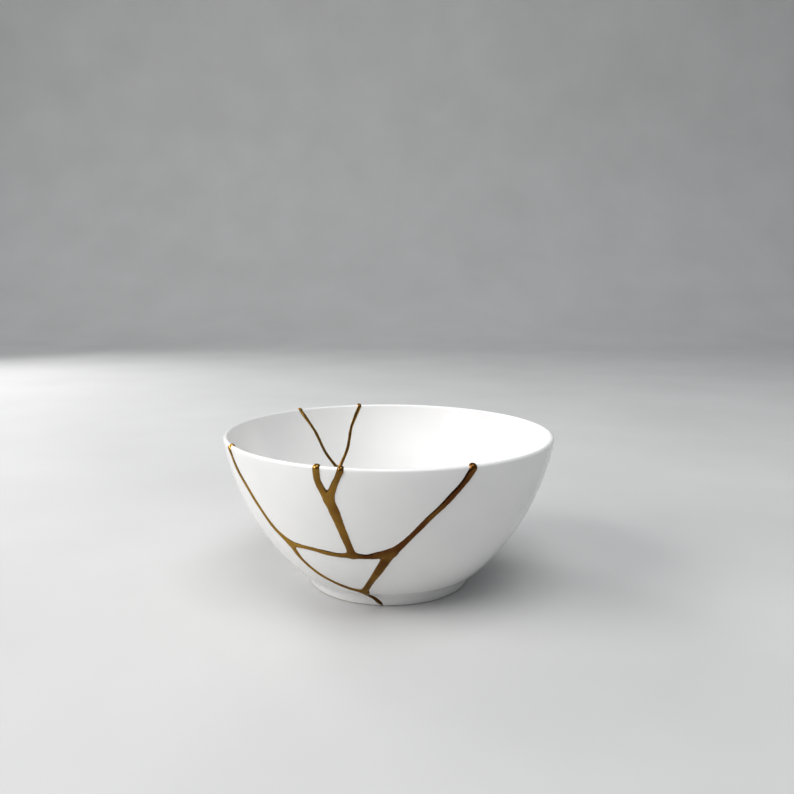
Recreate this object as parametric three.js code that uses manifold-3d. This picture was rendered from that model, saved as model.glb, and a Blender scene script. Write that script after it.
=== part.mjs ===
// Kintsugi bowl: a porcelain bowl that broke into shards and was mended with raised gold seams.
// Millimetres, +Z up. The origin is the middle of the foot's underside, and the front is towards -Y.
// A place on the bowl is a turn in degrees from the front, positive towards +X, and a height.

import * as THREE from 'three';
import { mergeVertices } from 'three/addons/utils/BufferGeometryUtils.js';
import Module from 'manifold-3d';

const wasm = await Module();
wasm.setup();

// The bowl's outside: a super-ellipse in height that would be widest just above the rim.
const RIM_RADIUS = 70;
const LIP_START = 63.9;
const WIDEST_HEIGHT = 71.2;
const CURVE_DEPTH = 80.8;
const CURVE_POWER = 1.669;
const WALL_START = 5.7;
const WALL_STEPS = 7;
const STEP_CROWDING = 1.2;
const SLOPE_STEP = 0.05;

// The wall's thickness, from the lip down to the base, and the inside floor.
const LIP_THICKNESS = 2;
const BASE_THICKNESS = 3.4;
const LIP_STEPS = 4;
const FLOOR_HEIGHT = 5.2;
const FLOOR_RADIUS = 27;
const FLOOR_STEPS = 3;

// The foot ring, the groove where it meets the wall, and the recess inside it.
const GROOVE_RADIUS = 37.2;
const GROOVE_HEIGHT = 4.95;
const FOOT_TOP_RADIUS = 36.2;
const FOOT_TOP_HEIGHT = 4.4;
const FOOT_OUTER_RADIUS = 34.2;
const FOOT_INNER_RADIUS = 31.5;
const FOOT_ROUNDING = 0.8;
const RECESS_RADIUS = 29.6;
const RECESS_HEIGHT = 2.4;

const ROUND_SIDES = 56;
const KNOT_SIDES = 6;
const LIP_SADDLE_STEPS = 5;
const LIP_SADDLE_OVERLAP = 15;

// The gold: a web in the crack, and a bead that stands proud on each side of the wall.
const CRACK_HALF_WIDTH = 0.6;
const WEB_HALF_WIDTH = 0.3;
const LEAST_BEAD = 0.1;
const CLEARANCE = 0.3;
const OUTER_BEAD_HEIGHT = 0.65;
const INNER_BEAD_HEIGHT = 0.35;
const INNER_BEAD_SHARE = 0.7;
const FLOOR_BEAD_HALF_WIDTH = 0.8;
const FOOT_PROUD = 0.3;
const KNOT_CORE_RADIUS = 0.6;
const KNOT_TOP_SHARE = 0.6;
const KNOT_TRIM = 0.8;
const KNOT_OVERSIZE = 0.1;
const STATION_SPACING = 7;
const BLADE_REACH = 1.2;
const PROBE_RADIUS = 0.5;

const degrees = (angle) => THREE.MathUtils.degToRad(angle);

// ---------- the bowl's own surfaces ----------

const curveShare = (height) =>
  Math.sqrt(1 - ((WIDEST_HEIGHT - height) / CURVE_DEPTH) ** CURVE_POWER);

const outerRadius = (height) => (RIM_RADIUS * curveShare(height)) / curveShare(LIP_START);

const wallThickness = (height) =>
  THREE.MathUtils.lerp(BASE_THICKNESS, LIP_THICKNESS, height / LIP_START);

// The outward normal of the wall in its section: x is away from the axis, y is up.
function wallNormal(height) {
  const rise = outerRadius(height + SLOPE_STEP) - outerRadius(height - SLOPE_STEP);
  const slope = rise / (2 * SLOPE_STEP);
  return new THREE.Vector2(1, -slope).normalize();
}

const outerPoint = (height) => new THREE.Vector2(outerRadius(height), height);

const innerPoint = (height) =>
  outerPoint(height).addScaledVector(wallNormal(height), -wallThickness(height));

// A round lip that carries the outer face over to the inner one.
function lipPoints() {
  const outer = outerPoint(LIP_START);
  const centre = outer.clone().add(innerPoint(LIP_START)).divideScalar(2);
  const points = [];
  for (let i = 1; i < LIP_STEPS; i += 1) {
    points.push(outer.clone().rotateAround(centre, (Math.PI * i) / LIP_STEPS));
  }
  return points;
}

// The inside from its lowest wall point on to the flat floor, tangent to both.
function floorCurve() {
  const start = innerPoint(WALL_START);
  const along = new THREE.Vector2(-wallNormal(WALL_START).y, wallNormal(WALL_START).x);
  const drop = (start.y - FLOOR_HEIGHT) / along.y;
  const corner = start.clone().addScaledVector(along, -drop);
  const end = new THREE.Vector2(FLOOR_RADIUS, FLOOR_HEIGHT);
  return new THREE.QuadraticBezierCurve(start, corner, end);
}

// The closed section of the bowl from the axis round the foot, up the outside and down the inside.
function bowlSection() {
  const points = [
    new THREE.Vector2(0, RECESS_HEIGHT),
    new THREE.Vector2(RECESS_RADIUS, RECESS_HEIGHT),
    new THREE.Vector2(FOOT_INNER_RADIUS - FOOT_ROUNDING, FOOT_ROUNDING),
    new THREE.Vector2(FOOT_INNER_RADIUS, 0),
    new THREE.Vector2(FOOT_OUTER_RADIUS, 0),
    new THREE.Vector2(FOOT_OUTER_RADIUS + FOOT_ROUNDING, FOOT_ROUNDING),
    new THREE.Vector2(FOOT_TOP_RADIUS, FOOT_TOP_HEIGHT),
    new THREE.Vector2(GROOVE_RADIUS, GROOVE_HEIGHT),
  ];
  const heights = [];
  for (let i = 0; i <= WALL_STEPS; i += 1) {
    const share = (i / WALL_STEPS) ** STEP_CROWDING;
    heights.push(THREE.MathUtils.lerp(WALL_START, LIP_START, share));
  }
  heights.forEach((height) => points.push(outerPoint(height)));
  points.push(...lipPoints());
  heights.reverse().forEach((height) => points.push(innerPoint(height)));
  points.push(...floorCurve().getPoints(FLOOR_STEPS).slice(1));
  points.push(new THREE.Vector2(0, FLOOR_HEIGHT));
  return points;
}

// ---------- solids ----------

function solidFrom(geometry) {
  const bare = geometry.clone();
  bare.deleteAttribute('normal');
  bare.deleteAttribute('uv');
  const merged = mergeVertices(bare, 1e-5);
  const mesh = new wasm.Mesh({
    numProp: 3,
    vertProperties: Float32Array.from(merged.attributes.position.array),
    triVerts: Uint32Array.from(merged.index.array),
  });
  mesh.merge();
  return new wasm.Manifold(mesh);
}

function geometryFrom(solid) {
  const mesh = solid.getMesh();
  const geometry = new THREE.BufferGeometry();
  geometry.setAttribute('position', new THREE.BufferAttribute(mesh.vertProperties, 3));
  geometry.setIndex(new THREE.BufferAttribute(mesh.triVerts, 1));
  geometry.computeVertexNormals();
  return geometry;
}

const bowlSolid = () => {
  const bowl = new THREE.LatheGeometry(bowlSection(), ROUND_SIDES);
  bowl.rotateX(Math.PI / 2);
  return solidFrom(bowl);
};

// ---------- where the cracks run ----------

// Where cracks meet: the turn, the height and the half width of the gold that fills the meeting.
const JUNCTIONS = {
  leftFork: [-40.5, 29.5, 1.6],
  lowFork: [-13, 8.6, 1.9],
  middleFork: [-13.4, 29, 1.9],
  upperFork: [-18.3, 52.2, 2],
  rightFork: [0.9, 30.8, 2.5],
  backFork: [-154, 33, 1.6],
};

const { leftFork, lowFork, middleFork, upperFork, rightFork, backFork } = JUNCTIONS;

// Each crack through the wall: turn, height and half width of its bead, at the places where it bends.
const LEFT_CRACK = [
  [-62.9, LIP_START, 0.9],
  [-59.2, 56.8, 0.9],
  [-54.2, 49.6, 0.9],
  [-50.2, 42, 0.9],
  [-46.2, 34.8, 1],
  leftFork,
];
const LOW_CRACK = [
  leftFork,
  [-39.4, 23, 0.9],
  [-35.4, 17, 0.9],
  [-28, 12.4, 0.9],
  [-20.5, 9.8, 0.9],
  lowFork,
];
const ACROSS_CRACK = [
  leftFork,
  [-31, 29.5, 0.9],
  [-24.5, 28.9, 1.1],
  [-18.6, 28.5, 1.1],
  middleFork,
];
const LEFT_ARM = [[-21.5, LIP_START, 1.3], [-21.4, 60, 1.2], [-20.4, 56.8, 1.3], upperFork];
const RIGHT_ARM = [[-14, LIP_START, 1.2], [-15.1, 61, 1.1], [-16.5, 57.4, 1.2], upperFork];
const STEM = [
  upperFork,
  [-17.2, 48.4, 2],
  [-16.3, 44.2, 1.8],
  [-15.3, 39.2, 1.5],
  [-14.3, 34, 1.4],
  middleFork,
];
const MIDDLE_CRACK = [middleFork, [-8, 28.9, 1.2], [-3.5, 29.8, 1.8], rightFork];
const RIGHT_CRACK = [
  rightFork,
  [4, 34, 1.4],
  [7.1, 37.8, 1],
  [13, 45.9, 1],
  [18, 52.3, 1.1],
  [23, 59.5, 1.3],
  [25.2, LIP_START, 1.5],
];
const LEG = [
  rightFork,
  [-1.2, 26.8, 1.8],
  [-3.6, 22.4, 1.6],
  [-6.6, 17.5, 1.3],
  [-10.2, 12.4, 1.1],
  lowFork,
];
const BACK_LEFT_CRACK = [backFork, [-160, 43, 1], [-163, 54, 1], [-167, LIP_START, 1.2]];
const BACK_RIGHT_CRACK = [backFork, [-149, 42, 1], [-145.5, 53, 1], [-140, LIP_START, 1.2]];

const WALL_CRACKS = [
  LEFT_CRACK,
  LOW_CRACK,
  ACROSS_CRACK,
  LEFT_ARM,
  RIGHT_ARM,
  STEM,
  MIDDLE_CRACK,
  RIGHT_CRACK,
  LEG,
  BACK_LEFT_CRACK,
  BACK_RIGHT_CRACK,
];

// The crack that crosses the foot and the base, from the front to the back. It slants across the
// foot's front face, from the first turn at the wall to the second at the ring.
const FRONT_FOOT_TURNS = [-12.4, -3.4];
const BACK_FOOT_TURNS = [-157, -157];
const FOOT_FACE_CORNERS = 4;
const BASE_CRACK_EDGE = 26.5;
const BASE_BENDS = [[1.5, -16], [-2.5, -4], [1, 9], [-5.5, 19]];
const BACK_RISE = [[-157, 8.5, 0.9], [-155.5, 14, 0.9], [-151.5, 23, 0.9]];

// A place on each shard, by turn and height, that tells which one it is.
const SHARDS = {
  shard_front_left: [-38, 48],
  shard_rim_chip: [-18.2, 62],
  shard_front_middle: [3, 52],
  shard_front_low: [-20, 20],
  shard_left_side: [-90, 30],
  shard_right_side: [60, 30],
  shard_back: [-153, 56],
};

// ---------- stations along a crack ----------

function atTurn(turn, point) {
  const angle = degrees(turn);
  return new THREE.Vector3(point.x * Math.sin(angle), -point.x * Math.cos(angle), point.y);
}

// A station joins a point of the outside face to the point of the inside face behind it.
// The gold there stands proud by this share, and at 0 it ends below the outside face.
// Its travel point tells which way the crack runs on to the next station.
function station(outer, inner, halfWidth, proud = 1) {
  const across = outer.clone().sub(inner);
  const middle = outer.clone().add(inner).divideScalar(2);
  return {
    middle,
    travel: middle,
    outward: across.clone().normalize(),
    halfDepth: across.length() / 2,
    halfWidth,
    proud,
  };
}

const wallStation = ([turn, height, halfWidth]) =>
  station(atTurn(turn, outerPoint(height)), atTurn(turn, innerPoint(height)), halfWidth);

// Stations every few millimetres on a smooth curve through the bends of one crack. A trim takes
// that length off an end.
function wallStations(bends, trims = [0, 0]) {
  const curve = new THREE.CatmullRomCurve3(bends.map((bend) => new THREE.Vector3(...bend)));
  const length = curve.getLength();
  const steps = Math.max(2, Math.round(length / STATION_SPACING));
  const stations = [];
  for (let i = 0; i <= steps; i += 1) {
    const along = THREE.MathUtils.lerp(trims[0], length - trims[1], i / steps);
    stations.push(wallStation(curve.getPointAt(along / length).toArray()));
  }
  return stations;
}

// Stations round the foot ring, from the wall to the recess: radius, height and how proud the gold is.
// The inside points are spread over the floor's curve and end a little short of the flat floor.
function footStations([outerTurn, innerTurn]) {
  const ringEdge = FOOT_OUTER_RADIUS + FOOT_ROUNDING;
  const corners = [
    [outerRadius(WALL_START), WALL_START, FOOT_PROUD],
    [FOOT_TOP_RADIUS, FOOT_TOP_HEIGHT, FOOT_PROUD],
    [(FOOT_TOP_RADIUS + ringEdge) / 2, FOOT_TOP_HEIGHT / 2, FOOT_PROUD],
    [ringEdge, FOOT_ROUNDING, FOOT_PROUD],
    [FOOT_OUTER_RADIUS, 0, 0],
    [FOOT_INNER_RADIUS, 0, 0],
    [FOOT_INNER_RADIUS - FOOT_ROUNDING, FOOT_ROUNDING, FOOT_PROUD],
    [RECESS_RADIUS, RECESS_HEIGHT, FOOT_PROUD],
  ];
  const floor = floorCurve();
  return corners.map(([radius, height, proud], i) => {
    const turn = THREE.MathUtils.lerp(outerTurn, innerTurn, Math.min(1, i / FOOT_FACE_CORNERS));
    const outer = atTurn(turn, new THREE.Vector2(radius, height));
    const inner = atTurn(turn, floor.getPoint(i / (corners.length + 0.5)));
    return station(outer, inner, FLOOR_BEAD_HALF_WIDTH, proud);
  });
}

function baseStations(bends) {
  const curve = new THREE.CatmullRomCurve3(bends.map(([x, y]) => new THREE.Vector3(x, y, 0)));
  const steps = Math.round(curve.getLength() / STATION_SPACING);
  return curve.getSpacedPoints(steps).map(({ x, y }, i) => {
    const outer = new THREE.Vector3(x, y, RECESS_HEIGHT);
    const inner = new THREE.Vector3(x, y, FLOOR_HEIGHT);
    return station(outer, inner, FLOOR_BEAD_HALF_WIDTH, i % steps === 0 ? FOOT_PROUD : 1);
  });
}

function throughBase() {
  const floorEdge = (turn) => atTurn(turn, new THREE.Vector2(BASE_CRACK_EDGE, 0)).toArray();
  const ends = [FRONT_FOOT_TURNS, BACK_FOOT_TURNS].map((turns) => floorEdge(turns[1]));
  return [
    { ...wallStation(lowFork), proud: FOOT_PROUD },
    ...footStations(FRONT_FOOT_TURNS),
    ...baseStations([ends[0], ...BASE_BENDS, ends[1]]),
    ...footStations(BACK_FOOT_TURNS).reverse(),
    ...wallStations([...BACK_RISE, backFork]),
  ];
}

// ---------- sections carried along a crack ----------

// In a section, x up to 1 is the web and from 1 to 2 the bead. Along y, up to 1 is the wall and from
// 1 to 2 the bead over it. Over the lip the web is short, so that the section can turn.
const CUT_SECTION = [[-1, -1], [1, -1], [1, 1], [-1, 1]];
const INNER_BEAD = [[-1, -1], [-2, -1], [0, -2], [2, -1], [1, -1]];
const OUTER_BEAD = [[1, 1], [2, 1], [1.3, 2], [-1.3, 2], [-2, 1], [-1, 1]];
const SEAM_SECTION = [...INNER_BEAD, ...OUTER_BEAD];
const LIP_SECTION = [[-1, 0.2], [1, 0.2], ...OUTER_BEAD];

const cutSize = { web: CRACK_HALF_WIDTH, lift: () => BLADE_REACH, bead: () => 0 };
const seamSize = {
  web: WEB_HALF_WIDTH,
  lift: (share) => THREE.MathUtils.lerp(-CLEARANCE, CLEARANCE, share),
  bead: (share, size) => THREE.MathUtils.lerp(LEAST_BEAD, size, share ** 2),
};

function sideways(x, y, place, size) {
  const full = place.halfWidth * (y < 0 ? INNER_BEAD_SHARE : 1) - WEB_HALF_WIDTH;
  const bead = size.bead(place.proud, full);
  const reach = Math.abs(x);
  return Math.sign(x) * (Math.min(1, reach) * size.web + Math.max(0, reach - 1) * bead);
}

function outwards(y, place, size) {
  const share = y > 0 ? place.proud : 1;
  const bead = size.bead(share, y > 0 ? OUTER_BEAD_HEIGHT : INNER_BEAD_HEIGHT);
  const face = place.halfDepth + size.lift(share);
  const reach = Math.abs(y);
  return Math.sign(y) * (Math.min(1, reach) * face + Math.max(0, reach - 1) * bead);
}

// A straight extrusion of the section, one step for each station, is laid along the stations.
function laidAlong(section, stations, size) {
  const shape = new THREE.Shape(section.map(([x, y]) => new THREE.Vector2(x, y)));
  const steps = stations.length - 1;
  const straight = new THREE.ExtrudeGeometry(shape, { steps, depth: steps, bevelEnabled: false });
  const position = straight.attributes.position;
  const frames = stations.map((place, i) => {
    const before = stations[Math.max(0, i - 1)].travel;
    const after = stations[Math.min(steps, i + 1)].travel;
    const along = after.clone().sub(before).normalize();
    return new THREE.Vector3().crossVectors(place.outward, along).normalize();
  });
  for (let i = 0; i < position.count; i += 1) {
    const index = Math.round(position.getZ(i));
    const place = stations[index];
    const x = position.getX(i);
    const y = position.getY(i);
    const point = place.middle
      .clone()
      .addScaledVector(frames[index], sideways(x, y, place, size))
      .addScaledVector(place.outward, outwards(y, place, size));
    position.setXYZ(i, point.x, point.y, point.z);
  }
  return solidFrom(straight);
}

// The gold over the lip: stations that share the lip's centre and turn from the outside to the inside,
// with a small overlap in degrees on the beads of both faces.
function lipSaddle([turn, height, halfWidth]) {
  const rim = wallStation([turn, height, halfWidth]);
  const axis = atTurn(turn + 90, new THREE.Vector2(1, 0));
  const start = degrees(LIP_SADDLE_OVERLAP);
  const end = -Math.PI - start;
  const stations = [];
  for (let i = 0; i <= LIP_SADDLE_STEPS; i += 1) {
    const angle = THREE.MathUtils.lerp(start, end, i / LIP_SADDLE_STEPS);
    const outward = rim.outward.clone().applyAxisAngle(axis, angle);
    const travel = rim.middle.clone().add(outward);
    stations.push({ ...rim, halfDepth: rim.halfDepth + KNOT_OVERSIZE, outward, travel });
  }
  return laidAlong(LIP_SECTION, stations, seamSize);
}

function turnedTo(geometry, place) {
  const up = new THREE.Vector3(0, 1, 0);
  geometry.applyQuaternion(new THREE.Quaternion().setFromUnitVectors(up, place.outward));
  return geometry.translate(...place.middle.toArray());
}

// The round filling where cracks meet, with the seam's own section turned about its middle.
function knot(junction) {
  const place = wallStation(junction);
  const face = place.halfDepth + CLEARANCE + KNOT_OVERSIZE / 2;
  const top = face + OUTER_BEAD_HEIGHT + KNOT_OVERSIZE;
  const radius = place.halfWidth;
  const profile = [
    [0, -face - INNER_BEAD_HEIGHT - KNOT_OVERSIZE],
    [radius * INNER_BEAD_SHARE, -face],
    [KNOT_CORE_RADIUS, -face],
    [KNOT_CORE_RADIUS, face],
    [radius, face],
    [radius * KNOT_TOP_SHARE, top],
    [0, top],
  ];
  const points = profile.map(([x, y]) => new THREE.Vector2(x, y));
  return solidFrom(turnedTo(new THREE.LatheGeometry(points, KNOT_SIDES), place));
}

// The hole through the wall where cracks meet, which the core of the knot fills.
function plug(junction) {
  const place = wallStation(junction);
  const radius = KNOT_CORE_RADIUS + CLEARANCE;
  const depth = 2 * (place.halfDepth + BLADE_REACH);
  return solidFrom(turnedTo(new THREE.CylinderGeometry(radius, radius, depth, KNOT_SIDES), place));
}

const joined = (solids) => solids.reduce((whole, next) => whole.add(next));

// ---------- the pieces ----------

const isRimEnd = ([, height]) => height === LIP_START;

// A cut that starts or ends at the rim runs on past the lip.
function cutStations(bends) {
  const stations = wallStations(bends);
  const past = (place) => {
    const middle = place.middle.clone();
    middle.z += BLADE_REACH + LIP_THICKNESS;
    return { ...place, middle, travel: middle };
  };
  if (isRimEnd(bends[0])) {
    stations.unshift(past(stations[0]));
  }
  if (isRimEnd(bends.at(-1))) {
    stations.push(past(stations.at(-1)));
  }
  return stations;
}

const cracks = () =>
  joined([
    ...WALL_CRACKS.map((bends) => laidAlong(CUT_SECTION, cutStations(bends), cutSize)),
    laidAlong(CUT_SECTION, throughBase(), cutSize),
    ...Object.values(JUNCTIONS).map(plug),
  ]);

// The bead of a crack stops inside the knot that fills a meeting of cracks.
const knotTrim = (bend) => (Object.values(JUNCTIONS).includes(bend) ? bend[2] * KNOT_TRIM : 0);

const seamStations = (bends) => wallStations(bends, [knotTrim(bends[0]), knotTrim(bends.at(-1))]);

const goldSeam = () =>
  joined([
    ...WALL_CRACKS.map((bends) => laidAlong(SEAM_SECTION, seamStations(bends), seamSize)),
    laidAlong(SEAM_SECTION, throughBase(), seamSize),
    ...Object.values(JUNCTIONS).map(knot),
    ...WALL_CRACKS.flat().filter(isRimEnd).map(lipSaddle),
  ]);

function probeAt([turn, height]) {
  const { middle } = wallStation([turn, height, 1]);
  return solidFrom(new THREE.SphereGeometry(PROBE_RADIUS, 6, 4).translate(...middle.toArray()));
}

function shardAt(place, pieces) {
  const probe = probeAt(place);
  return pieces.find((piece) => !piece.intersect(probe).isEmpty());
}

const porcelain = new THREE.MeshStandardMaterial({ color: 0xf1f0ed, roughness: 0.12 });
const gold = new THREE.MeshStandardMaterial({ color: 0xb08a3c, roughness: 0.18, metalness: 1 });

function named(name, solid, material) {
  const mesh = new THREE.Mesh(geometryFrom(solid), material);
  mesh.name = name;
  return mesh;
}

const kintsugiBowl = new THREE.Group();
const pieces = bowlSolid().subtract(cracks()).decompose();
Object.entries(SHARDS).forEach(([name, place]) => {
  kintsugiBowl.add(named(name, shardAt(place, pieces), porcelain));
});
kintsugiBowl.add(named('gold_seam', goldSeam(), gold));

export default kintsugiBowl;
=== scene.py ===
"""A porcelain bowl that broke and was mended with raised gold seams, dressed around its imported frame.

The frame is in metres with +Z up. The bowl's own sizes are worked out here in millimetres.

A place on the bowl has a turn, in degrees from the front (-Y) and positive towards +X, and a reach, the
distance in millimetres from the middle of the base, out along the base and up the wall to the rim.
Each place has a point on the outside face and a point on the inside face behind it.
"""
import math

import bmesh
import bpy
import numpy as np
from mathutils import Matrix, Vector


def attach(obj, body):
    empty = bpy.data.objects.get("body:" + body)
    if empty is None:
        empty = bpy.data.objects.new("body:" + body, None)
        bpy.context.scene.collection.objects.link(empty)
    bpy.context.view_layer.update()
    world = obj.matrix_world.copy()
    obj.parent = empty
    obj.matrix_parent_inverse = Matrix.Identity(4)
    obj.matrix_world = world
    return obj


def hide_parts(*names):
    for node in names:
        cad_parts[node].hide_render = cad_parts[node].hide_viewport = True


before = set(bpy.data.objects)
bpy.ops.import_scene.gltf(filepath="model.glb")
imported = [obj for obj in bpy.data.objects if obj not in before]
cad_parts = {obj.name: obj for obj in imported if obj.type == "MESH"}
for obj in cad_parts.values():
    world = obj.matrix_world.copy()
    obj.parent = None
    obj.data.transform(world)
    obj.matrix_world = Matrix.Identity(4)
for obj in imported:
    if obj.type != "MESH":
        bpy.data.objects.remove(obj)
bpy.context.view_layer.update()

MM = 0.001

# Points nearer to each other than this, in metres, become one.
SAME_PLACE = 2e-6

# ---------------------------------------------------------------- the bowl's sizes, in millimetres

RIM_RADIUS = 69.99
LIP_START = 63.9
WIDEST_HEIGHT = 71.2
CURVE_DEPTH = 80.8
CURVE_POWER = 1.669
SLOPE_STEP = 0.05
WALL_START = 5.7
LIP_THICKNESS = 2.0
BASE_THICKNESS = 3.4

FLOOR_HEIGHT = 5.2
FLOOR_RADIUS = 27.0
RECESS_HEIGHT = 2.4
RECESS_RADIUS = 29.6
FOOT_INNER_RADIUS = 31.5
FOOT_OUTER_RADIUS = 34.2
FOOT_TOP_RADIUS = 36.2
FOOT_TOP_HEIGHT = 4.4
FOOT_EDGE = 0.4
FOOT_BLEND_HEIGHT = 7.5
BLEND_STEP = 0.1
BASE_EDGE = FLOOR_RADIUS - 0.5

# How far each corner of the foot's outline is cut back for its curve: recess, ring's inner and outer
# edge, the groove under the wall, and the start of the wall.
FOOT_CORNER_CUTS = (0.9, 1.0, 0.9, 2.4, 0.1)

# Where cracks meet: turn, height and half width of the gold, before the angles between them are filled.
LEFT_FORK = (-40.5, 29.5, 1.5)
LOW_FORK = (-13.0, 8.6, 1.3)
MIDDLE_FORK = (-13.4, 29.0, 1.4)
UPPER_FORK = (-18.3, 52.2, 1.6)
RIGHT_FORK = (0.9, 30.8, 1.9)
BACK_FORK = (-154.0, 33.0, 1.1)

# Each crack through the wall: turn, height and half width of its gold, at the places where it bends.
WALL_CRACKS = {
    "left": [(-62.9, LIP_START, 0.9), (-59.2, 56.8, 0.9), (-54.2, 49.6, 0.9), (-50.2, 42, 0.9),
             (-46.2, 34.8, 1), LEFT_FORK],
    "low": [LEFT_FORK, (-39.4, 23, 0.9), (-35.4, 17, 0.9), (-28, 12.4, 0.9), (-20.5, 9.8, 0.9), LOW_FORK],
    "across": [LEFT_FORK, (-31, 29.5, 0.9), (-24.5, 28.9, 1.1), (-18.6, 28.5, 1.1), MIDDLE_FORK],
    "left_arm": [(-21.5, LIP_START, 1.3), (-21.4, 60, 1.2), (-20.4, 56.8, 1.3), UPPER_FORK],
    "right_arm": [(-14, LIP_START, 1.2), (-15.1, 61, 1.1), (-16.5, 57.4, 1.2), UPPER_FORK],
    "stem": [UPPER_FORK, (-17.2, 48.4, 2), (-16.3, 44.2, 1.8), (-15.3, 39.2, 1.5), (-14.3, 34, 1.4),
             MIDDLE_FORK],
    "middle": [MIDDLE_FORK, (-8, 28.9, 1.2), (-3.5, 29.8, 1.8), RIGHT_FORK],
    "right": [RIGHT_FORK, (4, 34, 1.4), (7.1, 37.8, 1.1), (13, 45.9, 1.1), (18, 52.3, 1.2), (23, 59.5, 1.3),
              (25.2, LIP_START, 1.5)],
    "leg": [RIGHT_FORK, (-1.2, 26.8, 1.8), (-3.6, 22.4, 1.6), (-6.6, 17.5, 1.3), (-10.2, 12.4, 1.1),
            LOW_FORK],
    "back_left": [BACK_FORK, (-160, 43, 1), (-163, 54, 1), (-167, LIP_START, 1.2)],
    "back_right": [BACK_FORK, (-149, 42, 1), (-145.5, 53, 1), (-140, LIP_START, 1.2)],
    "back_rise": [(-157, 8.5, 0.9), (-155.5, 14, 0.9), (-151.5, 23, 0.9), BACK_FORK],
}
FRONT_FOOT_TURNS = (-12.4, -3.4)
BACK_FOOT_TURN = -157.0
BASE_BENDS = [(1.5, -16.0), (-2.5, -4.0), (1.0, 9.0), (-5.5, 19.0)]
BASE_HALF_WIDTH = 0.8
FOOT_HALF_WIDTHS = (1.2, 0.9, 0.75)

# Which cracks go round each shard, from the rim and back to it. A minus sign runs one backwards.
SHARD_LOOPS = {
    "shard_front_left": ["left", "across", "-stem", "-left_arm"],
    "shard_rim_chip": ["left_arm", "-right_arm"],
    "shard_front_middle": ["right_arm", "stem", "middle", "right"],
    "shard_front_low": ["low", "-leg", "-middle", "-across"],
    "shard_left_side": ["-back_right", "-back_rise", "-base", "-low", "-left"],
    "shard_right_side": ["-right", "leg", "base", "back_rise", "back_left"],
    "shard_back": ["-back_left", "back_right"],
}

# The gold's height over the glaze in the middle of a seam, and its width inside as a share of outside.
OUTER_BEAD_HEIGHT = 0.66
INNER_BEAD_HEIGHT = 0.34
INNER_BEAD_SHARE = 0.7
DOME_POWER = 2.4
FULL_HALF_WIDTH = 1.3

# How round the corners are where seams meet, and how far the gold spreads past its half width.
MEETING_FILLET = 0.5
EDGE_SPREAD = 0.14

# How deep the gold goes on under the glaze, and how far past its edge.
HIDDEN_DEPTH = 0.45
HIDDEN_MARGIN = 0.75

# How far each shard ends from the middle of a crack, and how far outside the rim its outline is closed.
CRACK_GAP = 0.4
OUTSIDE_RIM = 8.0

# Which cells of the gold's grid are near enough to a crack to be worked out.
NEAR_ROOM = 2.4
NEAR_LEAST_RADIUS = 0.5

# How much higher the gold is over the lip, and how much higher from a height near the rim upwards.
LIP_SWELL = 0.25
RIM_SWELL = 0.35
RIM_SWELL_START = 60.5
RIM_SWELL_RISE = 3.0

# Down at the ring that the bowl stands on, the gold's top sinks to a little under the glaze.
FLUSH_START = 0.5
FLUSH_RISE = 1.6
RING_SINK = 0.1

# Unevenness of the gold: how much, over what length, and its seed.
EDGE_RIPPLES = ((0.08, 9.0, 3), (0.05, 3.5, 5))
HEIGHT_RIPPLE = (0.13, 11.0, 7)
LUMPS = (0.035, 4.5, 11)

# How finely the surfaces are worked out.
SHARD_COLUMNS = 384
SEAM_COLUMNS = 1500
CRACK_STEP = 0.7
LIP_ROWS = 12
BASE_POINTS = 120
FOOT_POINTS = 90
WALL_POINTS = 240
BEND_POINTS = 40
RISE_POINTS = 8
LIP_LINE_POINTS = 13
RIM_ARC_POINTS = 90
NEAREST_AT_ONCE = 4000
BASE_ROWS = {"shards": 20, "seam": 48}
FOOT_ROWS = {"shards": 60, "seam": 75}
WALL_ROW_STEP = {"shards": 1.25, "seam": 0.3}
SHARD_SHARP_ANGLE = math.radians(50)
SEAM_SHARP_ANGLE = math.radians(80)


# ---------------------------------------------------------------- the bowl's section

def outer_radius(height):
    """Radius of the outside at a height: a super-ellipse, r = rim * g(height) / g(lip)."""
    def share(level):
        return np.sqrt(1 - ((WIDEST_HEIGHT - level) / CURVE_DEPTH) ** CURVE_POWER)
    return RIM_RADIUS * share(height) / share(LIP_START)


def wall_faces(height):
    """Outside and inside points (radius, height) of the wall, one thickness apart along the normal."""
    rise = outer_radius(height + SLOPE_STEP) - outer_radius(height - SLOPE_STEP)
    slope = rise / (2 * SLOPE_STEP)
    normal = np.stack([np.ones_like(slope), -slope], -1)
    normal /= np.linalg.norm(normal, axis=-1, keepdims=True)
    thickness = BASE_THICKNESS + (LIP_THICKNESS - BASE_THICKNESS) * height / LIP_START
    outside = np.stack([outer_radius(height), height], -1)
    return outside, outside - normal * thickness[..., None]


def rounded(corners, cuts, count=24):
    """A chain of straight lines whose corners are cut back by a length and bridged by a quadratic curve."""
    corners = np.asarray(corners, float)
    chain = [corners[:1]]
    t = np.linspace(0, 1, count)[:, None]
    for before, corner, after, cut in zip(corners, corners[1:], corners[2:], cuts):
        start = corner + cut * (before - corner) / np.linalg.norm(before - corner)
        end = corner + cut * (after - corner) / np.linalg.norm(after - corner)
        chain.append((1 - t) ** 2 * start + 2 * t * (1 - t) * corner + t ** 2 * end)
    chain.append(corners[-1:])
    return np.concatenate(chain)


def lengths_along(points):
    """Distance from the first point to each point of a chain."""
    steps = np.linalg.norm(np.diff(points, axis=0), axis=1)
    return np.concatenate([[0.0], np.cumsum(steps)])


def spaced(points, count):
    """The same chain with count points at even distances."""
    along = lengths_along(points)
    even = np.linspace(0, along[-1], count)
    return np.stack([np.interp(even, along, points[:, k]) for k in range(points.shape[1])], -1)


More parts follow.
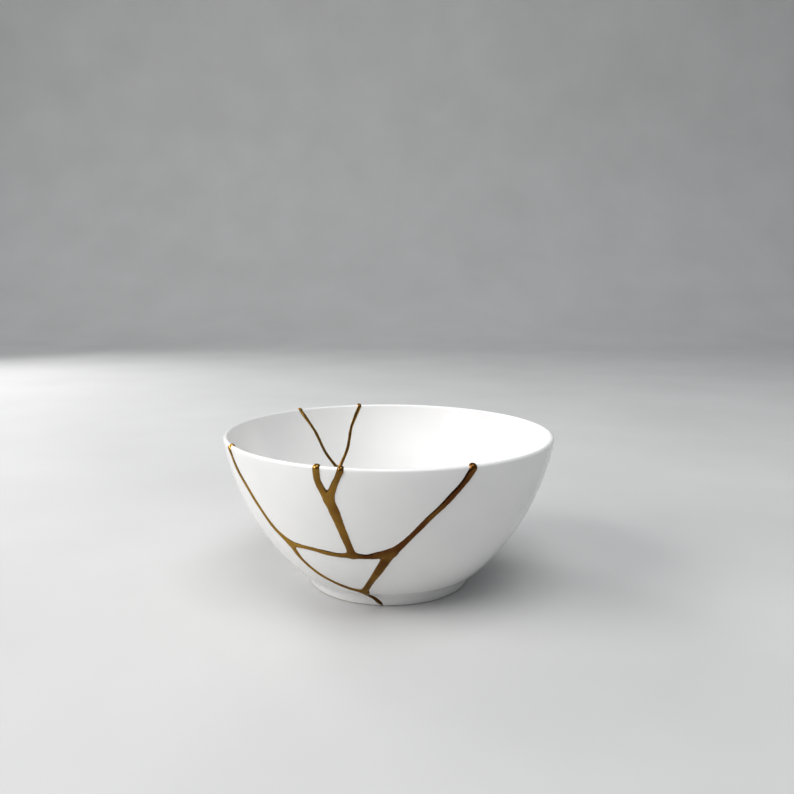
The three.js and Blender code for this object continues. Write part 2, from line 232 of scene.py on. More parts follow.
def foot_outside():
    """The outside from the recess round the foot ring to the lowest wall, with every corner rounded."""
    corners = [
        (BASE_EDGE, RECESS_HEIGHT),
        (RECESS_RADIUS, RECESS_HEIGHT),
        (FOOT_INNER_RADIUS - FOOT_EDGE, 0),
        (FOOT_OUTER_RADIUS + FOOT_EDGE, 0),
        (FOOT_TOP_RADIUS, FOOT_TOP_HEIGHT),
        (outer_radius(FOOT_BLEND_HEIGHT), FOOT_BLEND_HEIGHT),
        (outer_radius(FOOT_BLEND_HEIGHT + BLEND_STEP), FOOT_BLEND_HEIGHT + BLEND_STEP),
    ]
    return rounded(corners, FOOT_CORNER_CUTS)[:-1]


def foot_inside():
    """The inside from the flat floor up its quarter curve, a quadratic tangent to floor and wall."""
    outside, inside = wall_faces(np.array([WALL_START]))
    normal = (outside - inside)[0] / np.linalg.norm(outside - inside)
    along = np.array([-normal[1], normal[0]])
    start = inside[0]
    corner = start - along * (start[1] - FLOOR_HEIGHT) / along[1]
    end = np.array([FLOOR_RADIUS, FLOOR_HEIGHT])
    t = np.linspace(0, 1, BEND_POINTS)[:, None]
    bend = (1 - t) ** 2 * end + 2 * t * (1 - t) * corner + t ** 2 * start
    rise = wall_faces(np.linspace(WALL_START, FOOT_BLEND_HEIGHT, RISE_POINTS)[1:])[1]
    return np.concatenate([[(BASE_EDGE, FLOOR_HEIGHT)], bend, rise])


def section():
    """Reach, outside point and inside point of the whole section, from the axis to the lip."""
    base = np.linspace(0, BASE_EDGE, BASE_POINTS)
    heights = np.linspace(FOOT_BLEND_HEIGHT, LIP_START, WALL_POINTS)
    wall_out, wall_in = wall_faces(heights)
    outside = np.concatenate([
        np.stack([base, np.full_like(base, RECESS_HEIGHT)], -1),
        spaced(foot_outside(), FOOT_POINTS)[1:],
        wall_out[1:],
    ])
    inside = np.concatenate([
        np.stack([base, np.full_like(base, FLOOR_HEIGHT)], -1),
        spaced(foot_inside(), FOOT_POINTS)[1:],
        wall_in[1:],
    ])
    reach = (lengths_along(outside) + lengths_along(inside)) / 2
    return reach, outside, inside


REACH, OUTSIDE, INSIDE = section()
RIM_REACH = REACH[-1]


def section_normals(points, sign):
    """Unit normals of a chain of (radius, height) points, turned to the side that sign gives."""
    along = np.gradient(points, axis=0)
    normals = sign * np.stack([along[:, 1], -along[:, 0]], -1)
    return normals / np.linalg.norm(normals, axis=1, keepdims=True)


OUTSIDE_NORMALS = section_normals(OUTSIDE, 1)
INSIDE_NORMALS = section_normals(INSIDE, -1)


def reach_at_height(height):
    """Reach of a place on the wall by its height on the outside."""
    wall = REACH > np.interp(outer_radius(FOOT_BLEND_HEIGHT) - 0.3, OUTSIDE[:, 0], REACH)
    return np.interp(height, OUTSIDE[wall, 1], REACH[wall])


def reach_at_radius(radius):
    """Reach of a place on the outside by its radius."""
    return np.interp(radius, OUTSIDE[:, 0], REACH)


def on_section(values, reach):
    """Values of the section, such as its points or normals, at the given reach."""
    return np.stack([np.interp(reach, REACH, values[:, k]) for k in (0, 1)], -1)


def turned(points, turn):
    """Points (radius, height) swung round to a turn in degrees: x = r sin t, y = -r cos t, z = h."""
    angle = np.radians(turn)
    radius, height = points[..., 0], points[..., 1]
    return np.stack([radius * np.sin(angle), -radius * np.cos(angle), height + 0 * angle], -1)


def lip_arc(share):
    """Point and normal of the round lip; share runs from 0 on the outside to 1 on the inside."""
    centre = (OUTSIDE[-1] + INSIDE[-1]) / 2
    spoke = OUTSIDE[-1] - centre
    angle = np.pi * np.asarray(share, float)[..., None]
    swung = spoke * np.cos(angle) + np.array([-spoke[1], spoke[0]]) * np.sin(angle)
    return centre + swung, swung / np.linalg.norm(spoke)


# ---------------------------------------------------------------- where the cracks run

def flat(turn, reach):
    """The bowl opened out flat: x = reach sin t, y = -reach cos t."""
    angle = np.radians(turn)
    return np.stack([reach * np.sin(angle), -reach * np.cos(angle)], -1)


def through(bends, step):
    """A centripetal Catmull-Rom curve through the bends, with a point about every step."""
    bends = np.asarray(bends, float)
    ends = np.concatenate([[2 * bends[0] - bends[1]], bends, [2 * bends[-1] - bends[-2]]])
    gaps = np.linalg.norm(np.diff(ends, axis=0), axis=1) ** 0.5
    chain = []
    for i in range(1, len(ends) - 2):
        p0, p1, p2, p3 = ends[i - 1:i + 3]
        g0, g1, g2 = gaps[i - 1:i + 2]
        leave = g1 * ((p1 - p0) / g0 - (p2 - p0) / (g0 + g1) + (p2 - p1) / g1)
        arrive = g1 * ((p2 - p1) / g1 - (p3 - p1) / (g1 + g2) + (p3 - p2) / g2)
        count = max(2, int(np.ceil(np.linalg.norm(p2 - p1) / step)))
        t = np.linspace(0, 1, count, endpoint=False)[:, None]
        chain.append(
            p1 + t * leave + t ** 2 * (3 * (p2 - p1) - 2 * leave - arrive)
            + t ** 3 * (2 * (p1 - p2) + leave + arrive)
        )
    return np.concatenate(chain + [bends[-1:]])


def wall_crack(bends):
    """Turn, reach and half width along one crack through the wall."""
    line = through(bends, CRACK_STEP)
    line[:, 1] = reach_at_height(line[:, 1])
    return line


def base_crack():
    """Turn, reach and half width along the crack under the bowl: down the foot's front face on a slant,
    across its ring, along the bends of the base, and out over the ring at the back."""
    wall_reach = reach_at_radius(outer_radius(WALL_START))
    ring_reach = reach_at_radius(FOOT_OUTER_RADIUS)
    front = np.array([
        (LOW_FORK[0], reach_at_height(LOW_FORK[1]), FOOT_HALF_WIDTHS[0]),
        (FRONT_FOOT_TURNS[0], wall_reach, FOOT_HALF_WIDTHS[1]),
        (FRONT_FOOT_TURNS[1], ring_reach, FOOT_HALF_WIDTHS[2]),
        (FRONT_FOOT_TURNS[1], BASE_EDGE, BASE_HALF_WIDTH),
    ])
    back = np.array([
        (BACK_FOOT_TURN, BASE_EDGE, BASE_HALF_WIDTH),
        (BACK_FOOT_TURN, wall_reach, FOOT_HALF_WIDTHS[1]),
        (BACK_FOOT_TURN, reach_at_height(WALL_CRACKS["back_rise"][0][1]), FOOT_HALF_WIDTHS[1]),
    ])
    ends = flat(np.array([FRONT_FOOT_TURNS[1], BACK_FOOT_TURN]), BASE_EDGE)
    plan = through([ends[0], *BASE_BENDS, ends[1]], CRACK_STEP)[1:-1]
    middle = np.stack([
        np.degrees(np.arctan2(plan[:, 0], -plan[:, 1])),
        np.hypot(plan[:, 0], plan[:, 1]),
        np.full(len(plan), BASE_HALF_WIDTH),
    ], -1)
    return np.concatenate([refined(front), middle, refined(back)])


def refined(points):
    """Extra points on the straight lines between (turn, reach, half width) points."""
    t = np.arange(0, len(points) - 1, 0.1)
    t = np.append(t, len(points) - 1)
    return np.stack([np.interp(t, np.arange(len(points)), points[:, k]) for k in range(3)], -1)


CRACKS = {name: wall_crack(bends) for name, bends in WALL_CRACKS.items()}
CRACKS["base"] = base_crack()


def crack_lines(name, face):
    """One crack on one face ("outside", "inside" or "lip"), as lines in space with their half widths."""
    line = CRACKS[name]
    if face == "lip":
        share = np.linspace(0, 1, LIP_LINE_POINTS)
        arc = lip_arc(share)[0]
        thinning = 1 - (1 - INNER_BEAD_SHARE) * share
        ends = [end for end in (line[0], line[-1]) if end[1] > RIM_REACH - 0.01]
        return [(turned(arc, np.full(len(share), end[0])), end[2] * thinning) for end in ends]
    points, scale = (OUTSIDE, 1.0) if face == "outside" else (INSIDE, INNER_BEAD_SHARE)
    return [(turned(on_section(points, line[:, 1]), line[:, 0]), line[:, 2] * scale)]


def gap_to(points, line, half_widths):
    """How far points lie from the edge of a band along a line, below 0 within it, and its half width there:
    the distance to each straight bit of the line, less the half width at the nearest place on it."""
    best = np.full(len(points), np.inf)
    width = np.zeros(len(points))
    for a, b, wa, wb in zip(line, line[1:], half_widths, half_widths[1:]):
        span = b - a
        t = np.clip((points - a) @ span / max(span @ span, 1e-12), 0, 1)
        here = wa + t * (wb - wa)
        gap = np.linalg.norm(points - a - t[:, None] * span, axis=1) - here
        width = np.where(gap < best, here, width)
        best = np.minimum(best, gap)
    return best, width


# ---------------------------------------------------------------- the flattened bowl

def raised(places, points):
    """Flat places put back on one face of the bowl: the section's point at that reach, swung round."""
    reach = np.linalg.norm(places, axis=-1)
    way = places / np.maximum(reach, 1e-9)[..., None]
    face = on_section(points, reach)
    return np.concatenate([way * face[..., :1], face[..., 1:]], -1)


FLAT_CRACKS = {name: flat(line[:, 0], line[:, 1]) for name, line in CRACKS.items()}


def shard_outline(loop):
    """A shard's outline in the flattened bowl: its cracks in order, then an arc outside the rim."""
    parts = [FLAT_CRACKS[name.lstrip("-")][::-1 if name.startswith("-") else 1] for name in loop]
    chain = np.concatenate(parts)
    if np.linalg.norm(chain[0] - chain[-1]) < 0.01:
        return chain
    start, end = (np.degrees(np.arctan2(place[0], -place[1])) for place in (chain[-1], chain[0]))
    sweep = (end - start + 180) % 360 - 180
    arc = flat(start + sweep * np.linspace(0, 1, RIM_ARC_POINTS), RIM_REACH + OUTSIDE_RIM)
    return np.concatenate([chain, arc])


def inside_outline(places, outline):
    """Which flat places lie inside a closed outline, by the even-odd rule."""
    x, y = places[..., 0], places[..., 1]
    inside = np.zeros(x.shape, bool)
    for (ax, ay), (bx, by) in zip(outline, np.roll(outline, -1, axis=0)):
        if ay != by:
            inside ^= ((ay > y) != (by > y)) & (x < ax + (y - ay) * (bx - ax) / (by - ay))
    return inside


# ---------------------------------------------------------------- closed shells

def closed_shell(cells, outer, lip, inner):
    """Points and faces of the closed solid over the chosen cells of a grid (rows of reach, columns of turn):
    the cells on the outer face, the same cells on the inner face, the lip between them along the top row,
    and a side wall from face to face wherever a chosen cell has no chosen neighbour."""
    rows, columns = cells.shape
    i, j = np.nonzero(cells)
    right = (j + 1) % columns
    inner_start = (rows + 1) * columns
    lip_start = 2 * inner_start

    def corners(start):
        """Numbers of each chosen cell's corners on one face: two in its own row, then two in the next."""
        first = start + i * columns
        return first + j, first + right, first + columns + right, first + columns + j

    left_out, right_out, top_right_out, top_left_out = corners(0)
    left_in, right_in, top_right_in, top_left_in = corners(inner_start)
    below = np.vstack([np.zeros((1, columns), bool), cells[:-1]])[i, j]
    above = np.vstack([cells[1:], np.zeros((1, columns), bool)])[i, j]
    free_left = ~np.roll(cells, 1, axis=1)[i, j]
    free_right = ~np.roll(cells, -1, axis=1)[i, j]
    free_below = ~below & (i > 0)
    free_above = ~above & (i < rows - 1)
    quads = [
        np.stack([left_out, right_out, top_right_out, top_left_out], -1),
        np.stack([left_in, top_left_in, top_right_in, right_in], -1),
        np.stack([top_right_out, right_out, right_in, top_right_in], -1)[free_right],
        np.stack([left_out, top_left_out, top_left_in, left_in], -1)[free_left],
        np.stack([right_out, left_out, left_in, right_in], -1)[free_below],
        np.stack([top_left_out, top_right_out, top_right_in, top_left_in], -1)[free_above],
    ]
    top = np.nonzero(cells[-1])[0]
    top_right = (top + 1) % columns
    last_row = rows * columns
    lip_rows = range(lip_start, lip_start + len(lip) * columns, columns)
    rings = [last_row, *lip_rows, inner_start + last_row]
    for lower, upper in zip(rings[:-1], rings[1:]):
        quads.append(np.stack([lower + top, lower + top_right, upper + top_right, upper + top], -1))
    right_ends = top_right[~np.roll(cells[-1], -1)[top]]
    left_ends = top[~np.roll(cells[-1], 1)[top]]
    caps = [
        np.stack([start + right_ends for start in rings[:1] + rings[:0:-1]], -1),
        np.stack([start + left_ends for start in rings[-1:] + rings[:-1]], -1),
    ]
    points = np.concatenate([outer.reshape(-1, 3), inner.reshape(-1, 3), lip.reshape(-1, 3)])
    groups = quads + caps
    used, numbers = np.unique(np.concatenate([group.ravel() for group in groups]), return_inverse=True)
    parts = np.split(numbers, np.cumsum([group.size for group in groups])[:-1])
    faces = [face for group, part in zip(groups, parts) for face in part.reshape(group.shape).tolist()]
    return points[used], faces


def solid_piece(name, points, faces, sharp_angle):
    """A mesh object from points in millimetres, where points in the same place become one."""
    mesh = bpy.data.meshes.new(name)
    mesh.from_pydata((points * MM).tolist(), [], faces)
    work = bmesh.new()
    work.from_mesh(mesh)
    bmesh.ops.remove_doubles(work, verts=work.verts, dist=SAME_PLACE)
    bmesh.ops.dissolve_degenerate(work, edges=work.edges, dist=SAME_PLACE / 2)
    work.to_mesh(mesh)
    work.free()
    mesh.shade_smooth()
    mesh.set_sharp_from_angle(angle=sharp_angle)
    piece = bpy.data.objects.new(name, mesh)
    bpy.context.scene.collection.objects.link(piece)
    return piece


# ---------------------------------------------------------------- the porcelain shards

def grid_rows(kind):
    """Reaches of a grid: coarse on the flat base, fine round the foot, and even up the wall."""
    wall = reach_at_height(FOOT_BLEND_HEIGHT)
    base = np.linspace(0, BASE_EDGE, BASE_ROWS[kind])
    foot = np.linspace(BASE_EDGE, wall, FOOT_ROWS[kind])
    rest = np.linspace(wall, RIM_REACH, int((RIM_REACH - wall) / WALL_ROW_STEP[kind]))
    return np.concatenate([base, foot[1:], rest[1:]])


def crack_segments():
    """Starts and ends of every straight bit of every crack in the flattened bowl."""
    starts = np.concatenate([line[:-1] for line in FLAT_CRACKS.values()])
    ends = np.concatenate([line[1:] for line in FLAT_CRACKS.values()])
    kept = np.linalg.norm(ends - starts, axis=1) > 1e-6
    return starts[kept], ends[kept]


def nearest_crack(places, starts, ends):
    """Nearest point of any crack to each flat place, and the unit vector across the crack there."""
    span = ends - starts
    t = np.einsum("psk,sk->ps", places[:, None] - starts[None], span) / (span ** 2).sum(1)
    feet = starts + np.clip(t, 0, 1)[..., None] * span
    gaps = np.linalg.norm(places[:, None] - feet, axis=-1)
    best = gaps.argmin(1)
    index = np.arange(len(places))
    along = span[best] / np.linalg.norm(span[best], axis=1, keepdims=True)
    return feet[index, best], np.stack([-along[:, 1], along[:, 0]], -1), gaps[index, best]


def trimmed_to_cracks(cells, places, centres, starts, ends):
    """The grid's places moved so that the chosen cells end one crack gap short of the middle of the cracks:
    every corner on the edge of the chosen cells, and every corner nearer than that, goes to the gap line."""
    def corner_sums(values):
        """For each corner of the grid, the sum over the cells that meet there."""
        padded = np.pad(values, ((1, 1), (0, 0)) + ((0, 0),) * (values.ndim - 2))
        both = padded[:-1] + padded[1:]
        return both + np.roll(both, 1, axis=1)

    chosen = cells.astype(float)
    own = corner_sums(chosen)
    every = corner_sums(np.ones_like(chosen))
    middle = corner_sums(centres * chosen[..., None]) / np.maximum(own, 1)[..., None]
    touched = own > 0
    edge = touched & (own < every)
    result = places.copy()
    rows, columns = np.nonzero(touched)
    for first in range(0, len(rows), NEAREST_AT_ONCE):
        batch = slice(first, first + NEAREST_AT_ONCE)
        pick = (rows[batch], columns[batch])
        foot, across, gap = nearest_crack(places[pick], starts, ends)
        moved = edge[pick] | (gap < CRACK_GAP)
        side = np.sign(((middle[pick] - foot) * across).sum(1))[:, None]
        result[pick] = np.where(moved[:, None], foot + across * side * CRACK_GAP, places[pick])
    top = result[-1] / np.linalg.norm(result[-1], axis=1, keepdims=True)
    result[-1] = top * RIM_REACH
    return result


def make_shards(material):
    """The seven porcelain pieces. Each takes the grid's cells whose centres lie within its own outline."""
    reach = grid_rows("shards")
    turns = np.arange(SHARD_COLUMNS) * 360 / SHARD_COLUMNS - 180
    places = flat(turns, reach[:, None])
    centres = flat(turns + 180 / SHARD_COLUMNS, (reach[1:, None] + reach[:-1, None]) / 2)
    starts, ends = crack_segments()
    owner = np.zeros(centres.shape[:2], int)
    names = ["shard_right_side"] + [name for name in SHARD_LOOPS if name != "shard_right_side"]
    for index, name in enumerate(names):
        if index:
            owner[inside_outline(centres, shard_outline(SHARD_LOOPS[name]))] = index
    arc = lip_arc(np.linspace(0, 1, LIP_ROWS + 1)[1:-1])[0]
    for index, name in enumerate(names):
        cells = owner == index
        own = trimmed_to_cracks(cells, places, centres, starts, ends)
        way = own[-1] / RIM_REACH
        lip = np.stack([
            np.concatenate([way * radius, np.full((SHARD_COLUMNS, 1), height)], -1)
            for radius, height in arc
        ])
        points, faces = closed_shell(cells, raised(own, OUTSIDE), lip, raised(own, INSIDE))
        piece = solid_piece("porcelain_" + name, points, faces, SHARD_SHARP_ANGLE)
        piece.data.materials.append(material)
        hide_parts(name)
        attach(piece, "root")


# ---------------------------------------------------------------- the gold seam

def ripples(points, wavelength, seed):
    """A smooth uneven field between about -1 and 1: sine waves in eight seeded directions, added up."""
    dice = np.random.default_rng(seed)
    ways = dice.normal(size=(8, 3))
    ways /= np.linalg.norm(ways, axis=1, keepdims=True)
    waves = 2 * np.pi / (wavelength * dice.uniform(0.7, 1.5, 8))
    phases = dice.uniform(0, 2 * np.pi, 8)
    return np.sin(points @ (ways * waves[:, None]).T + phases).sum(-1) / 4


def smooth_step(value):
    """0 up to 0, 1 from 1 on, and 3 v^2 - 2 v^3 between."""
    value = np.clip(value, 0, 1)
    return value * value * (3 - 2 * value)


def near_cracks(reach, turns):
    """Which grid corners lie near a crack: a window of turn and reach round every point of every crack."""
    near = np.zeros((len(reach), len(turns)), bool)
    for line in CRACKS.values():
        for turn, at, half_width in line:
            room = half_width + NEAR_ROOM
            low, high = np.searchsorted(reach, [at - room, at + room])
            radius = np.interp(at, REACH, np.minimum(OUTSIDE[:, 0], INSIDE[:, 0]))
            window = min(180.0, np.degrees(room / max(radius - room, NEAR_LEAST_RADIUS)))
            offset = (turns - turn + 180) % 360 - 180
            near[low:high, np.abs(offset) <= window] = True
    return near


def distance_field(points, faces):
    """How far points lie outside the gold's edge, and the gold's half width there. The cracks are joined by
    a soft minimum, d = -k log(sum exp(-d_i / k)), which fills the angles where they meet."""
    total = np.zeros(len(points))
    nearest = np.full(len(points), np.inf)
    width = np.ones(len(points))
    for name in CRACKS:
        gap = np.full(len(points), np.inf)
        for face in faces:
            for line, half_widths in crack_lines(name, face):
                found, near_width = gap_to(points, line, half_widths)
                width = np.where(found < nearest, near_width, width)
                nearest = np.minimum(nearest, found)
                gap = np.minimum(gap, found)
        total += np.exp(-np.clip(gap, -4, 40) / MEETING_FILLET)
    return -MEETING_FILLET * np.log(total), width


def bead(distance, width, points, height):
    """The gold's height over the glaze: h (1 - (1 - s) ^ p), where s runs from 0 at the edge to 1 in the
    middle, with ripples, and more of it near the rim. Outside the edge it dives under the glaze."""
    distance = distance - EDGE_SPREAD + sum(size * ripples(points, *rest) for size, *rest in EDGE_RIPPLES)
    share = np.clip(-distance / width, 0, 1)
    rise = (1 - (1 - share) ** DOME_POWER) * smooth_step(0.3 - distance / 0.5)
    swell = 1 + RIM_SWELL * smooth_step((points[:, 2] - RIM_SWELL_START) / RIM_SWELL_RISE)
    uneven = 1 + HEIGHT_RIPPLE[0] * ripples(points, *HEIGHT_RIPPLE[1:])
    level = height * np.clip(width / FULL_HALF_WIDTH, 0.7, 1.1) * uneven * swell
    lumps = LUMPS[0] * ripples(points, *LUMPS[1:])
    return np.where(distance < 0, rise * (level + lumps), -np.minimum(distance, HIDDEN_DEPTH))


def lip_over(near_top, turns):
    """The gold's skin over the lip, row by row from the outside to the inside."""
    share = np.linspace(0, 1, LIP_ROWS + 1)[1:-1]
    arc, arc_normals = lip_arc(share)
    count = near_top.sum()
    lip = np.zeros((len(share), SEAM_COLUMNS, 3))
    skin = turned(arc[:, None] + np.zeros((1, count, 1)), turns[None, near_top])
    out = turned(arc_normals[:, None] + np.zeros((1, count, 1)), turns[None, near_top])
    distance, width = distance_field(skin.reshape(-1, 3), ("outside", "lip", "inside"))
    height = OUTER_BEAD_HEIGHT + (INNER_BEAD_HEIGHT - OUTER_BEAD_HEIGHT) * share
    height = np.repeat(height * (1 + LIP_SWELL * np.sin(np.pi * share)), count)
    lift = bead(distance, width, skin.reshape(-1, 3), height)
    lip[:, near_top] = skin + out * lift.reshape(skin.shape[:2])[..., None]
    return lip


def make_seam(material):
    """The gold, one piece: a thin closed solid that follows the cracks on the outside, over the lip and down
    the inside, and fills the crack between."""
    reach = grid_rows("seam")
    turns = np.arange(SEAM_COLUMNS) * 360 / SEAM_COLUMNS - 180
    near = near_cracks(reach, turns)
    rows, columns = np.nonzero(near)
    spot_reach, spot_turn = reach[rows], turns[columns]

    def face(points, normals, name, height, flush):
        """The gold's skin over one face, and how far each corner lies outside its edge."""
        skin = turned(on_section(points, spot_reach), spot_turn)
        out = turned(on_section(normals, spot_reach), spot_turn)
        distance, width = distance_field(skin, (name, "lip"))
        lift = bead(distance, width, skin, height)
        if flush:
            kept = smooth_step((skin[:, 2] - FLUSH_START) / FLUSH_RISE)
            lift = np.where(lift > 0, lift * kept - RING_SINK * (1 - kept), lift)
        whole = np.zeros(near.shape + (3,))
        whole[near] = skin + out * lift[:, None]
        far = np.full(near.shape, np.inf)
        far[near] = distance
        return whole, far

    outer, outer_far = face(OUTSIDE, OUTSIDE_NORMALS, "outside", OUTER_BEAD_HEIGHT, True)
    inner, inner_far = face(INSIDE, INSIDE_NORMALS, "inside", INNER_BEAD_HEIGHT, False)
    far = np.minimum(outer_far, inner_far)
    across = np.maximum(far, np.roll(far, -1, axis=1))
    cells = np.maximum(across[:-1], across[1:]) < np.inf
    close = np.minimum(far, np.roll(far, -1, axis=1))
    cells &= np.minimum(close[:-1], close[1:]) < HIDDEN_MARGIN

    points, faces = closed_shell(cells, outer, lip_over(near[-1], turns), inner)
    piece = solid_piece("gold_seam_surface", points, faces, SEAM_SHARP_ANGLE)
    piece.data.materials.append(material)
    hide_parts("gold_seam")
    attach(piece, "root")


# ---------------------------------------------------------------- finishes

def new_material(name):
    """An empty node material and its principled shader."""
    material = bpy.data.materials.new(name)
    material.use_nodes = True
    return material, material.node_tree.nodes["Principled BSDF"]


def noise(material, scale, detail=3.0, roughness=0.5):
    """A noise texture over the object's own coordinates, which are in metres."""
    nodes, links = material.node_tree.nodes, material.node_tree.links
    place = nodes.new("ShaderNodeTexCoord")
    texture = nodes.new("ShaderNodeTexNoise")
    texture.inputs["Scale"].default_value = scale
    texture.inputs["Detail"].default_value = detail
    texture.inputs["Roughness"].default_value = roughness
    links.new(place.outputs["Object"], texture.inputs["Vector"])
    return texture.outputs["Fac"]


def spread(material, value, low, high, start=0.3, end=0.7):
    """A value between start and end stretched to run from low to high."""
    node = material.node_tree.nodes.new("ShaderNodeMapRange")
    for socket, number in zip(("From Min", "From Max", "To Min", "To Max"), (start, end, low, high)):
        node.inputs[socket].default_value = number
    material.node_tree.links.new(value, node.inputs["Value"])
    return node.outputs["Result"]


def blend_colours(material, factor, first, second):
    """One colour turning into another as the factor goes from 0 to 1."""
    node = material.node_tree.nodes.new("ShaderNodeMix")
    node.data_type = "RGBA"
    for socket, colour in ((6, first), (7, second)):
        if isinstance(colour, tuple):
            node.inputs[socket].default_value = (*colour, 1)
        else:
            material.node_tree.links.new(colour, node.inputs[socket])
    material.node_tree.links.new(factor, node.inputs[0])
    return node.outputs[2]


def bumped(material, shader, value, distance, strength=1.0):
    """Fine relief from a value, that many metres deep."""
    node = material.node_tree.nodes.new("ShaderNodeBump")
    node.inputs["Distance"].default_value = distance
    node.inputs["Strength"].default_value = strength
    material.node_tree.links.new(value, node.inputs["Height"])
    material.node_tree.links.new(node.outputs["Normal"], shader.inputs["Normal"])


def object_axes(material):
    """The object's own X, Y and Z, in metres."""
    place = material.node_tree.nodes.new("ShaderNodeTexCoord")
    axes = material.node_tree.nodes.new("ShaderNodeSeparateXYZ")
    material.node_tree.links.new(place.outputs["Object"], axes.inputs["Vector"])
    return axes.outputs


def sum_of(material, first, second, operation="ADD"):
    """The sum of two values, or another operation on them."""
    node = material.node_tree.nodes.new("ShaderNodeMath")
    node.operation = operation
    for socket, value in zip(node.inputs, (first, second)):
        if isinstance(value, (int, float)):
            socket.default_value = value
        else:
            material.node_tree.links.new(value, socket)
    return node.outputs[0]


def porcelain():
    """White glazed porcelain: a clear gloss over a faintly uneven white, and a bare, matt foot ring."""
    material, shader = new_material("white_porcelain_glaze")
    links = material.node_tree.links
    tone = spread(material, noise(material, 38, 4), 0, 1)
    glaze = blend_colours(material, tone, (0.80, 0.80, 0.79), (0.845, 0.842, 0.828))
    wander = spread(material, noise(material, 260, 3), -0.0002, 0.0002)
    edge = sum_of(material, object_axes(material)["Z"], wander)
    bare = spread(material, edge, 1, 0, 0.0005, 0.0008)
    body = blend_colours(material, spread(material, noise(material, 700, 4), 0, 1),
                         (0.68, 0.655, 0.61), (0.78, 0.76, 0.72))
    links.new(blend_colours(material, bare, glaze, body), shader.inputs["Base Color"])
    gloss = spread(material, noise(material, 120, 3), 0.09, 0.16)
    links.new(sum_of(material, gloss, sum_of(material, bare, 0.6, "MULTIPLY")), shader.inputs["Roughness"])
    shader.inputs["IOR"].default_value = 1.5
    shader.inputs["Specular IOR Level"].default_value = 0.5
    fine = sum_of(material, noise(material, 420, 3), 0.12, "MULTIPLY")
    relief = sum_of(material, noise(material, 55, 2), fine)
    bumped(material, shader, relief, 0.00022, 0.5)
    return material


def gold():
    """Gold lustre whose gold is made deep and brownish as a painted dark reflection, redder in patches, and
    darker still towards +X, the side away from the window lamp, as a painted dark reflection; with fine
    brush marks.
    """
    material, shader = new_material("gold_lustre")
    links = material.node_tree.links
    patch = spread(material, noise(material, 110, 4), -0.25, 0.25, 0.3, 0.7)
    # Painted dark reflection: from X = -42 mm to +2 mm the gold runs towards the dark end colour, so the +X
    # side looks as if it reflects a dark room.
    side = spread(material, object_axes(material)["X"], 0, 1, -0.042, 0.002)
    tone = sum_of(material, side, patch)
    # The first colour is gold kept deep and brown as a painted dark reflection; the second, a near-black
    # brown, is the painted dark reflection on the +X side.
    colour = blend_colours(material, tone, (0.34, 0.19, 0.036), (0.085, 0.03, 0.009))
    worn = spread(material, noise(material, 700, 5, 0.6), 0, 0.5, 0.55, 0.75)
    links.new(blend_colours(material, worn, colour, (0.12, 0.05, 0.02)), shader.inputs["Base Color"])
    shader.inputs["Metallic"].default_value = 1.0
    shader.inputs["Specular Tint"].default_value = (1.0, 0.86, 0.62, 1)
    links.new(spread(material, noise(material, 420, 4), 0.08, 0.20), shader.inputs["Roughness"])
    fine = sum_of(material, noise(material, 1600, 3), 0.15, "MULTIPLY")
    relief = sum_of(material, noise(material, 260, 3), fine)
    bumped(material, shader, relief, 0.0003, 0.6)
    return material


def pale_floor():
    """A plain matt floor."""
    material, shader = new_material("pale_floor")
    cloud = spread(material, noise(material, 9, 3), 0, 1)
    colour = blend_colours(material, cloud, (0.54, 0.54, 0.535), (0.58, 0.58, 0.575))
    material.node_tree.links.new(colour, shader.inputs["Base Color"])
    shader.inputs["Roughness"].default_value = 0.75
    return material


# ---------------------------------------------------------------- floor, light and camera

def make_floor(material):
    """A floor that bends up into a wall far behind the bowl: a flat run, a quarter circle and a rise."""
    radius, back = 0.6, 1.1
    bend = np.linspace(0, np.pi / 2, 40)
    y = np.concatenate([[-2.5], back + radius * np.sin(bend), [back + radius]])
    z = np.concatenate([[0.0], radius - radius * np.cos(bend), [3.0]])
    x = np.array([-3.0, 3.0])
    points = np.stack([np.tile(x, len(y)), np.repeat(y, 2), np.repeat(z, 2)], -1)
    i = 2 * np.arange(len(y) - 1)
    faces = np.stack([i, i + 1, i + 3, i + 2], -1)
    mesh = bpy.data.meshes.new("floor_sweep")
    mesh.from_pydata(points.tolist(), [], faces.tolist())
    mesh.shade_smooth()
    floor = bpy.data.objects.new("floor_sweep", mesh)
    bpy.context.scene.collection.objects.link(floor)
    floor.data.materials.append(material)


def area_light(name, place, target, width, height, power, colour=(1, 1, 1)):
    """A soft rectangular lamp at a place, turned to a target."""
    lamp = bpy.data.lights.new(name, "AREA")
    lamp.shape = "RECTANGLE"
    lamp.size, lamp.size_y = width, height
    lamp.energy = power
    lamp.color = colour
    holder = bpy.data.objects.new(name, lamp)
    bpy.context.scene.collection.objects.link(holder)
    holder.location = place
    holder.rotation_euler = (Vector(target) - Vector(place)).to_track_quat("-Z", "Y").to_euler()


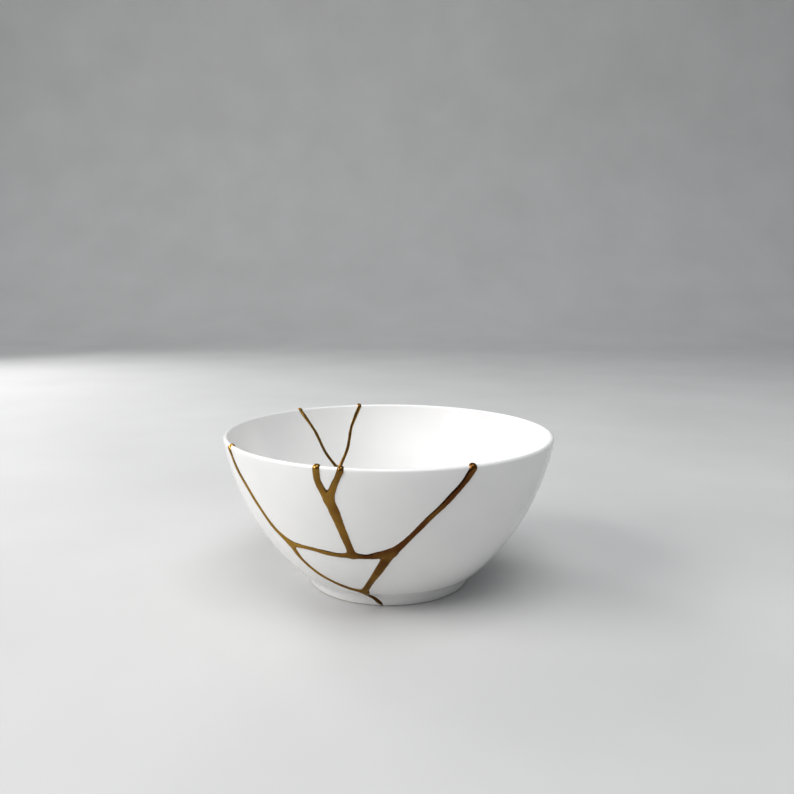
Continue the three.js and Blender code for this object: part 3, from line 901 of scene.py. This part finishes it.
def light_scene():
    """Soft daylight: a wide window on the left and a little in front, a strip behind it, a ceiling, and a
    dim room that is lightest overhead."""
    world = bpy.data.worlds.new("studio")
    world.use_nodes = True
    nodes, links = world.node_tree.nodes, world.node_tree.links
    place = nodes.new("ShaderNodeTexCoord")
    axes = nodes.new("ShaderNodeSeparateXYZ")
    links.new(place.outputs["Generated"], axes.inputs["Vector"])
    height = nodes.new("ShaderNodeMapRange")
    for socket, number in (("From Min", -0.2), ("From Max", 1.0), ("To Min", 0.10), ("To Max", 0.55)):
        height.inputs[socket].default_value = number
    links.new(axes.outputs["Z"], height.inputs["Value"])
    links.new(height.outputs["Result"], nodes["Background"].inputs["Strength"])
    nodes["Background"].inputs["Color"].default_value = (0.86, 0.88, 0.93, 1)
    bpy.context.scene.world = world
    area_light("window_left", (-1.1, -0.45, 0.75), (0, 0, 0.03), 0.9, 0.9, 15.5, (1.0, 0.99, 0.975))
    area_light("strip_behind", (-0.55, 0.65, 0.5), (0, 0, 0.04), 0.25, 0.7, 3.0)
    area_light("ceiling", (0.15, -0.4, 1.3), (0, 0, 0), 0.8, 0.8, 8.0)
    bpy.context.scene.view_settings.view_transform = "Standard"


def place_camera():
    """A camera in front of the bowl and a little above it, looking slightly down."""
    pitch, yaw, roll = (math.radians(angle) for angle in (8.756, 0.567, 0.346))
    ahead = Vector((math.sin(yaw) * math.cos(pitch), math.cos(yaw) * math.cos(pitch), -math.sin(pitch)))
    right = Vector((math.cos(yaw), -math.sin(yaw), 0))
    up = right.cross(ahead)
    right, up = (right * math.cos(roll) + up * math.sin(roll), up * math.cos(roll) - right * math.sin(roll))
    lens = bpy.data.cameras.new("camera")
    lens.lens = 35.74
    lens.sensor_width = 36.0
    lens.clip_start = 0.01
    camera = bpy.data.objects.new("camera", lens)
    bpy.context.scene.collection.objects.link(camera)
    turn = Matrix((right, up, -ahead)).transposed().to_4x4()
    camera.matrix_world = Matrix.Translation((0.0, -0.3341, 0.1310)) @ turn
    bpy.context.scene.camera = camera


make_shards(porcelain())
make_seam(gold())
make_floor(pale_floor())
light_scene()
place_camera()
